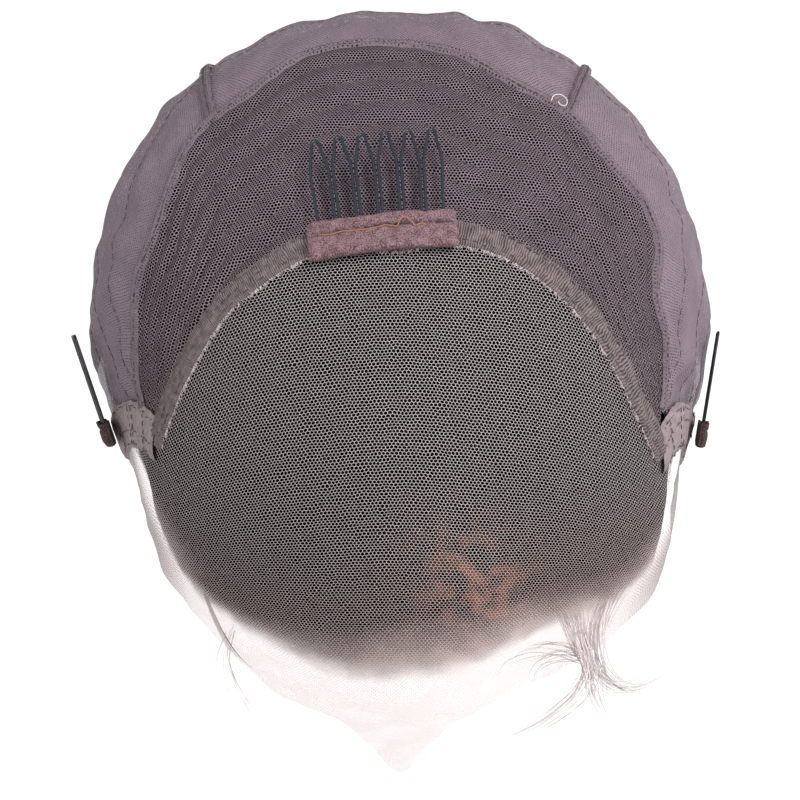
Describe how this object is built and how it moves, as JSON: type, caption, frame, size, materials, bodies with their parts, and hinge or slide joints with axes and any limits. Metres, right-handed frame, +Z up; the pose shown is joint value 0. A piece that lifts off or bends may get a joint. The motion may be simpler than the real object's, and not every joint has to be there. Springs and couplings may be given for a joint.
{
  "type": "lace front wig",
  "caption": "Inside-out lace front wig: net cap with stitched rows, pale lace front, sewn wire combs and dark hair hanging inside.",
  "frame": {"origin": "inside of the crown's top, where the cap rests on a head or a block", "axes": "+Z up out of the crown, -Y towards the forehead edge, +X to the right of someone looking at the forehead edge"},
  "size_m": [0.1735, 0.1942, 0.2315],
  "materials": {
    "crown_net": "mauve-grey elastic net, matt",
    "side_net": "mauve-grey elastic net, gathered, matt",
    "pale_lace": "pale pinkish lace net, matt",
    "tape_cloth": "ribbed brown-grey tape with stitch rows, matt",
    "tab_cloth": "brown-grey cloth, stitched, matt",
    "seam_cord": "dark overlocked seam",
    "pink_felt": "pink-mauve felt, matt",
    "brown_felt": "dark brown felt, matt",
    "grey_wire": "blue-grey coated wire",
    "black_wire": "black coated wire",
    "dark_hair": "near-black hair, soft sheen"
  },
  "bodies": {
    "root": {"crown_panel": "crown_net", "side_panel_left": "side_net", "side_panel_right": "side_net", "back_panel": "side_net", "lace_front": "pale_lace", "lace_tape": "tape_cloth", "crown_seam": "seam_cord", "back_seam_left": "seam_cord", "back_seam_right": "seam_cord", "ear_tab_left": "tab_cloth", "ear_tab_right": "tab_cloth", "top_comb": "grey_wire", "top_comb_pocket": "pink_felt", "side_comb_left": "black_wire", "side_comb_right": "black_wire", "side_comb_pocket_left": "brown_felt", "side_comb_pocket_right": "brown_felt", "hair_base": "dark_hair", "hair_fall": "dark_hair"}
  },
  "joints": []
}
